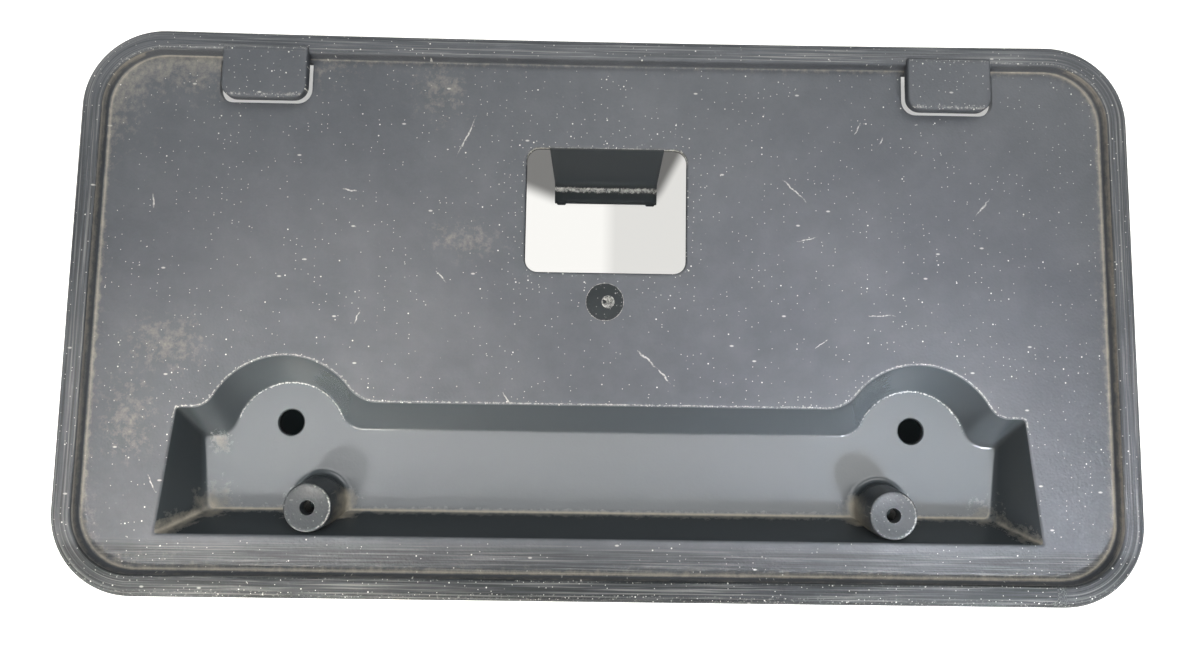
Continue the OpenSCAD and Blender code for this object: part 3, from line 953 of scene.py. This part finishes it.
    # The named scratches: each a long thin ellipse on the field, its line wavered by a noise
    waver = add(tree, "VectorMath", [wander.outputs["Color"], (-0.5, -0.5, -0.5)])
    waver = add(tree, "VectorMath", {0: waver, 3: 1.6}, "SCALE")
    wavered = add(tree, "VectorMath", [face, waver])
    scratched = 0.0
    for ax, az, bx, bz, width in SCRATCHES:
        turned = math.atan2(bz - az, bx - ax)
        local = add(tree, "Mapping", {
            "Vector": wavered, "Location": ((ax + bx) / 2, (az + bz) / 2, 0.0),
            "Rotation": (0.0, 0.0, turned), "Scale": (math.dist((ax, az), (bx, bz)) / 2, 0.75 * width, 1.0),
        }, vector_type="TEXTURE")
        one = add(tree, "TexGradient", {"Vector": local}, gradient_type="SPHERICAL").outputs["Fac"]
        scratched = add(tree, "Math", [scratched, one], "MAXIMUM")
    scratched = add(tree, "Math", [scratched, rubbed], "MULTIPLY")
    scratched = add(tree, "MapRange", [scratched, 0.17, 0.4, 0.0, 0.55])
    scratched = add(tree, "Math", [scratched, grained], "MULTIPLY")

    # The pale marks together
    light = scuffed_and_glint
    for other in (line_mask, marks, scratched):
        light = add(tree, "Math", [light, other], "MAXIMUM")

    # Dust in the corners, broken up by a noise 2.5 mm across
    settled = add(tree, "Math", [grit, dust])
    settled = add(tree, "MapRange", [settled, 0.6, 1.25, 0.0, 0.9])
    dusty = add(tree, "MapRange", [dust, 0.0, 0.1, 0.0, 1.0])
    settled = add(tree, "Math", [settled, dusty], "MULTIPLY")

    # The colour, from the plastic up to the dust that lies on it. The sheltered colour also paints
    # shade, and the scuff colour also paints the glint along the tongue's lip
    body = (*colours.plastic, 1.0)
    for mask, tint in (
        (polish, colours.polished), (haze, colours.haze), (sheltered_and_shade, colours.sheltered_and_shade),
        (light, colours.scuff), (settled, colours.dust),
    ):
        body = add(tree, "Mix", {0: mask, 6: body, 7: (*tint, 1.0)}, data_type="RGBA").outputs[2]

    # Rougher on the grain, and matt where it is worn or dusty
    rough = add(tree, "MapRange", [polish, 0.0, 1.0, 0.55, 0.26])
    rough_more = add(tree, "Math", [settled, light], "MAXIMUM")
    rough = add(tree, "Mix", {0: rough_more, 2: rough, 3: 0.85})

    # Relief: the grain, the lines along the rim, and slight waves of the whole surface
    depth = add(tree, "MapRange", [polish, 0.0, 1.0, 0.9, 0.12])
    bump = add(tree, "Bump", {"Strength": depth, "Distance": 0.00008, "Height": grain})
    ridges = add(tree, "Math", [lines, streak], "MULTIPLY")
    bump = add(tree, "Bump", {"Strength": 0.7, "Distance": 0.00012, "Height": ridges, "Normal": bump})
    bump = add(tree, "Bump", {"Strength": 0.5, "Distance": 0.0003, "Height": waves, "Normal": bump})
    shader = add(tree, "BsdfPrincipled", {
        "Base Color": body, "Roughness": rough, "Metallic": 0.0, "IOR": 1.49,
        "Specular IOR Level": sheen, "Normal": bump,
    })
    add(tree, "OutputMaterial", [shader])
    return material


def finished(context, obj):
    """Gives a piece its surface facts and the plastic, and fits it to the frame."""
    surface_facts(plan(context), obj)
    name = "polypropylene, moulded with a fine grain"
    material = bpy.data.materials.get(name) or grained_polypropylene(context, name)
    obj.data.materials.append(material)
    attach(obj, "root")
    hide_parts(NODE)


class PLATEHOLDER_OT_panel(Operator):
    """Builds the panel: rim, field, window, slots, recess and screw bosses"""

    bl_idname = "plate_holder.panel"
    bl_label = "Moulded Panel"

    def execute(self, context):
        s = plan(context)
        finished(context, panel_surface(s).made("moulded_panel", bowed(s)))
        return {"FINISHED"}


class PLATEHOLDER_OT_lugs(Operator):
    """Builds the two lugs that hold the plate's upper edge"""

    bl_idname = "plate_holder.lugs"
    bl_label = "Hook Lugs"

    def execute(self, context):
        finished(context, lug_surface(plan(context)).made("hook_lugs"))
        return {"FINISHED"}


class PLATEHOLDER_OT_tongue(Operator):
    """Builds the tongue behind the window"""

    bl_idname = "plate_holder.tongue"
    bl_label = "Tongue"

    def execute(self, context):
        finished(context, tongue_surface(plan(context)).made("bumper_tongue"))
        return {"FINISHED"}


class PLATEHOLDER_OT_gate_disc(Operator):
    """Builds the smooth disc at the moulding gate"""

    bl_idname = "plate_holder.gate_disc"
    bl_label = "Gate Disc"

    def execute(self, context):
        finished(context, disc_surface(plan(context)).made("gate_disc"))
        return {"FINISHED"}


# The photograph's camera: places in millimetres, the roll in degrees, the lens in millimetres on a
# sensor 36 mm wide, and the shift in sensor widths. TABLE_Y and FLOOR_Z are the stage's two planes.
CAMERA_AT = (-3.3616, -290.7933, 14.1781)
CAMERA_AIM = (-0.0448, -17.0, 42.6412)
CAMERA_ROLL = 0.885
CAMERA_LENS = 26.586
CAMERA_SHIFT = (-0.00403, -0.02916)
TABLE_Y = 26.0
FLOOR_Z = -800.0


def camera(context):
    """The photograph's camera: looks from one point to another, rolled about its line of sight."""
    data = bpy.data.cameras.new("photo camera")
    obj = bpy.data.objects.new("photo camera", data)
    context.scene.collection.objects.link(obj)
    at, aim = Vector(CAMERA_AT) * MM, Vector(CAMERA_AIM) * MM
    forward = (aim - at).normalized()
    level_right = forward.cross(Vector((0, 0, 1))).normalized()
    level_up = level_right.cross(forward)
    roll = math.radians(CAMERA_ROLL)
    right = level_right * math.cos(roll) + level_up * math.sin(roll)
    up = right.cross(forward)
    turn = Matrix((right, up, -forward)).transposed()
    obj.matrix_world = Matrix.Translation(at) @ turn.to_4x4()
    data.lens = CAMERA_LENS
    data.sensor_width = 36.0
    data.shift_x, data.shift_y = CAMERA_SHIFT
    data.clip_start = 0.01
    context.scene.camera = obj


def painted_board(context):
    """Matt white board: nearly all light comes back evenly. The camera sees it lifted to white beside
    the object, and lifted only a little behind it, where the lights' shadows stay. It carries painted
    shade behind the fixing and boss holes, and what shows through the window is drawn: painted light,
    painted shade on its right half and the tongue's painted shadow."""
    material = bpy.data.materials.new("board, painted matt white")
    material.use_nodes = True
    tree = material.node_tree
    tree.nodes.clear()
    half_w, mid_z, half_h = 0.0305, 0.0765, 0.0245
    base = (*context.scene.holder_colours.stage, 1.0)
    where = add(tree, "TexCoord").outputs["Object"]

    # Painted shade: dark patches behind the fixing and boss holes
    shades = []
    for x in (-0.106, 0.106):
        local = add(tree, "Mapping", {
            "Vector": where, "Location": (x, TABLE_Y * MM, -0.014), "Scale": (0.021, 0.03, 0.03),
        }, vector_type="TEXTURE")
        shades.append(add(tree, "TexGradient", {"Vector": local}, gradient_type="SPHERICAL").outputs["Fac"])
    dark = add(tree, "Math", [shades[0], shades[1]], "MAXIMUM")
    dark = add(tree, "MapRange", [dark, 0.0, 0.15, 0.0, 1.0])
    base = add(tree, "Mix", {0: dark, 6: base, 7: srgb("#22282a")}, data_type="RGBA").outputs[2]

    # The lift starts 24 mm outside a box of 318 by 140 mm behind the object
    centred = add(tree, "VectorMath", [where, (-0.0005, -TABLE_Y * MM, -0.0397)])
    past = add(tree, "VectorMath", [centred], "ABSOLUTE")
    past = add(tree, "VectorMath", [past, (0.159, 1.0, 0.070)], "SUBTRACT")
    past = add(tree, "VectorMath", [past, (0.0, 0.0, 0.0)], "MAXIMUM")
    past = add(tree, "VectorMath", [past], "LENGTH").outputs["Value"]
    beside = add(tree, "MapRange", [past, 0.024, 0.027, 0.0, 0.72])

    # The window shows painted light on the board, painted shade on its right half, and the tongue's
    # painted soft shadow: its lower edge rises towards both sides, and it ends on a slant at the right
    split = add(tree, "SeparateXYZ", [where])
    in_window = add(tree, "Math", [split.outputs[0]], "ABSOLUTE")
    in_window = add(tree, "Math", [in_window, half_w], "LESS_THAN")
    level_with = add(tree, "Math", [split.outputs[2], mid_z, half_h], "COMPARE")
    in_window = add(tree, "Math", [in_window, level_with], "MULTIPLY")
    right_half = add(tree, "MapRange", [split.outputs[0], -0.001, 0.004, 0.95, 0.75])
    slant = add(tree, "Math", [split.outputs[2], -0.52, split.outputs[0]], "MULTIPLY_ADD")
    slant = add(tree, "MapRange", [slant, -0.0255, -0.0205, 1.0, 0.0], interpolation_type="SMOOTHSTEP")
    cast = add(tree, "Math", [split.outputs[0]], "ABSOLUTE")
    cast = add(tree, "Math", [cast, 0.019], "MAXIMUM")
    cast = add(tree, "Math", [cast, -0.38, split.outputs[2]], "MULTIPLY_ADD")
    cast = add(tree, "MapRange", [cast, 0.070, 0.0765, 0.0, 1.0], interpolation_type="SMOOTHSTEP")
    cast = add(tree, "Math", [cast, slant], "MULTIPLY")
    cast = add(tree, "Math", [cast, in_window], "MULTIPLY")

    # Where the window is drawn, the camera sees the emission only: painted light and shade
    rays = add(tree, "LightPath").outputs
    seen = add(tree, "Math", [rays["Is Camera Ray"], rays["Is Transmission Ray"]], "MAXIMUM")
    own = add(tree, "Math", [seen, in_window], "MULTIPLY")
    base = add(tree, "Mix", {0: own, 6: base, 7: (0.0, 0.0, 0.0, 1.0)}, data_type="RGBA").outputs[2]
    matt = add(tree, "BsdfDiffuse", {"Color": base})

    # The lift: the brightest of the drawn window, a little behind the object, and the white beside it
    cast = add(tree, "Math", [cast, -0.78, 1.0], "MULTIPLY_ADD")
    window = add(tree, "Math", [right_half, cast], "MULTIPLY")
    window = add(tree, "Math", [window, in_window], "MULTIPLY")
    pale = add(tree, "Math", [1.0, dark], "SUBTRACT")
    pale = add(tree, "Math", [pale, 0.1], "MULTIPLY")
    pale = add(tree, "Math", [pale, cast], "MULTIPLY")
    beside = add(tree, "Math", [beside, window], "MAXIMUM")
    beside = add(tree, "Math", [beside, pale], "MAXIMUM")
    lift = add(tree, "Math", [seen, beside], "MULTIPLY")
    glow = add(tree, "Emission", {"Color": srgb("#fffefa"), "Strength": lift})
    white = add(tree, "AddShader", [matt, glow])

    # From behind the board is clear
    behind = add(tree, "NewGeometry").outputs["Backfacing"]
    clear = add(tree, "BsdfTransparent")
    board = add(tree, "MixShader", [behind, white, clear])
    add(tree, "OutputMaterial", [board])
    return material


def board(name, corners, material):
    """A flat board through four corners in millimetres, with n even steps each way between them."""
    n = 8
    a, b, c, d = (np.array(p, float) for p in corners)
    u, v = np.meshgrid(np.linspace(0, 1, n + 1), np.linspace(0, 1, n + 1))
    u, v = u[..., None], v[..., None]
    at = (1 - v) * ((1 - u) * a + u * b) + v * ((1 - u) * d + u * c)
    k, i = np.meshgrid(np.arange(n), np.arange(n), indexing="ij")
    first = k * (n + 1) + i
    quads = np.stack([first, first + 1, first + n + 2, first + n + 1], -1)
    mesh = bpy.data.meshes.new(name)
    mesh.from_pydata((at.reshape(-1, 3) * MM).tolist(), [], quads.reshape(-1, 4).tolist())
    mesh.materials.append(material)
    obj = bpy.data.objects.new(name, mesh)
    bpy.context.scene.collection.objects.link(obj)
    obj.visible_shadow = False


# Each light: its name, place, aim and size in metres, power in watts, tint, and spread in degrees
LIGHTS = (
    ("sheen", (0.0, -1.05, -0.06), (0, 0, 0.02), (1.4, 0.2), 7.6, "#ffffff", 180.0),
    ("key", (0.0, -1.0, -0.44), (0, 0, 0.02), (1.0, 0.2), 2.6, "#ffffff", 180.0),
    ("low key", (0.0, -0.85, -0.64), (0, 0, 0.02), (0.7, 0.25), 1.6, "#ffffff", 180.0),
    ("left low", (-0.4, -0.62, -0.475), (-0.1, 0, -0.012), (0.1, 0.1), 0.12, "#fffaf2", 14.0),
    ("right low", (0.4, -0.62, -0.475), (0.1, 0, -0.01), (0.1, 0.1), 0.14, "#f3f6ff", 14.0),
    ("low fill", (-0.35, -0.5, -0.85), (0, 0, 0.0), (0.5, 0.4), 6.5, "#fff1e2", 180.0),
    ("top fill", (0.3, -1.3, 0.9), (0, 0, 0.04), (1.2, 0.7), 14.0, "#ffffff", 180.0),
    ("rear fill", (-0.5, 1.4, 0.8), (0, 0, 0.03), (1.2, 1.0), 16.0, "#ffffff", 180.0),
)


def soft_light(context, name, at, aim, size, power, tint, spread):
    """A square of soft studio light of that size in metres and power in watts, turned to its aim;
    its grid keeps the light within the spread in degrees."""
    data = bpy.data.lights.new(name, "AREA")
    data.shape = "RECTANGLE"
    data.size, data.size_y = size
    data.energy = power
    data.spread = math.radians(spread)
    data.color = srgb(tint)[:3]
    obj = bpy.data.objects.new(name, data)
    obj.location = at
    obj.rotation_euler = (Vector(aim) - Vector(at)).to_track_quat("-Z", "Y").to_euler()
    obj.visible_camera = False
    context.scene.collection.objects.link(obj)


class PLATEHOLDER_OT_stage(Operator):
    """Builds the pale floor and backdrop, the soft lights and the photograph's camera"""

    bl_idname = "plate_holder.stage"
    bl_label = "Stage, Light and Camera"

    def execute(self, context):
        white = painted_board(context)
        x, y, z, top, far = 700.0, TABLE_Y, FLOOR_Z, 620.0, 1600.0
        board("backdrop", [(-x, y, z), (x, y, z), (x, y, top), (-x, y, top)], white)
        board("floor", [(-far, -far, z), (far, -far, z), (far, far, z), (-far, far, z)], white)
        for light in LIGHTS:
            soft_light(context, *light)

        # The sky is white to the camera and 0.28 as bright to everything else
        world = bpy.data.worlds.new("pale studio")
        world.use_nodes = True
        tree = world.node_tree
        tree.nodes.clear()
        rays = add(tree, "LightPath").outputs
        seen = add(tree, "Math", [rays["Is Camera Ray"], rays["Is Transmission Ray"]], "MAXIMUM")
        strength = add(tree, "MapRange", [seen, 0.0, 1.0, 0.28, 1.0])
        sky = add(tree, "Background", {"Color": srgb("#ffffff"), "Strength": strength})
        add(tree, "OutputWorld", [sky])
        context.scene.world = world
        context.scene.view_settings.view_transform = "Standard"
        camera(context)
        return {"FINISHED"}


STEPS = (
    PLATEHOLDER_OT_panel,
    PLATEHOLDER_OT_lugs,
    PLATEHOLDER_OT_tongue,
    PLATEHOLDER_OT_gate_disc,
    PLATEHOLDER_OT_stage,
)


class PLATEHOLDER_PT_sidebar(Panel):
    """The builder's steps, sizes and colours in the 3D view's sidebar"""

    bl_label = "Plate Holder"
    bl_idname = "PLATEHOLDER_PT_sidebar"
    bl_space_type = "VIEW_3D"
    bl_region_type = "UI"
    bl_category = "Plate Holder"

    def draw(self, context):
        layout = self.layout
        for step in STEPS:
            layout.operator(step.bl_idname)
        for group, kind in (
            (context.scene.holder_sizes, HolderSizes), (context.scene.holder_colours, HolderColours),
        ):
            column = layout.column(align=True)
            for name in kind.__annotations__:
                column.prop(group, name)


CLASSES = (HolderSizes, HolderColours, *STEPS, PLATEHOLDER_PT_sidebar)


def register():
    for kind in CLASSES:
        bpy.utils.register_class(kind)
    bpy.types.Scene.holder_sizes = PointerProperty(type=HolderSizes)
    bpy.types.Scene.holder_colours = PointerProperty(type=HolderColours)


def unregister():
    del bpy.types.Scene.holder_colours
    del bpy.types.Scene.holder_sizes
    for kind in reversed(CLASSES):
        bpy.utils.unregister_class(kind)


def main():
    register()
    bpy.ops.plate_holder.panel()
    bpy.ops.plate_holder.lugs()
    bpy.ops.plate_holder.tongue()
    bpy.ops.plate_holder.gate_disc()
    bpy.ops.plate_holder.stage()


if __name__ == "__main__":
    main()
